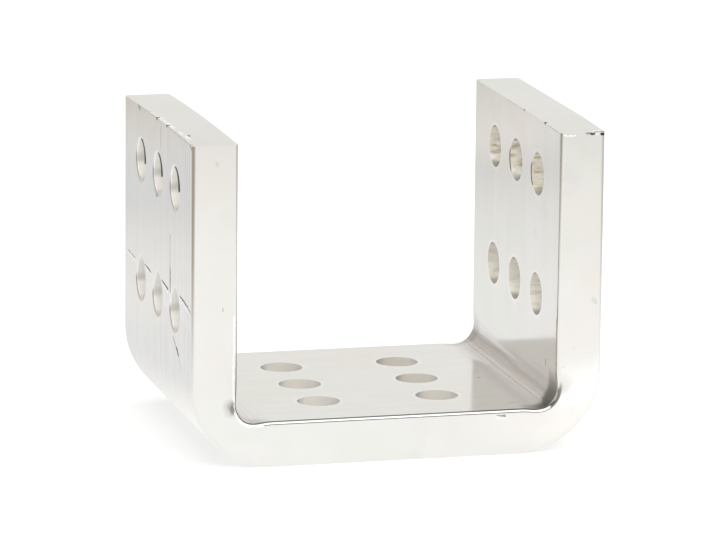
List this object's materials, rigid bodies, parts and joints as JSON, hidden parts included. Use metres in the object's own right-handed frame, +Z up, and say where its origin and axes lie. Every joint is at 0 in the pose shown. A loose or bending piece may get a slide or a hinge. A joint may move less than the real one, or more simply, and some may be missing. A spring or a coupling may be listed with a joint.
{
  "type": "u-shaped bracket",
  "caption": "U-shaped bracket bent from thick flat bar, with rolled edges, tight bends and a grid of round bolt holes in each wall.",
  "frame": {"origin": "on the flat underside, midway between the legs and midway across the bar's width", "axes": "+Z up along the legs, X from the left leg to the right leg, Y along the bar's width with -Y at the front"},
  "size_m": [0.1366, 0.102, 0.1059],
  "materials": {
    "bar": "bright silvery plating on copper bar, smooth with fine drawing lines and handling marks"
  },
  "bodies": {
    "root": {"u_bracket": "bar"}
  },
  "joints": []
}
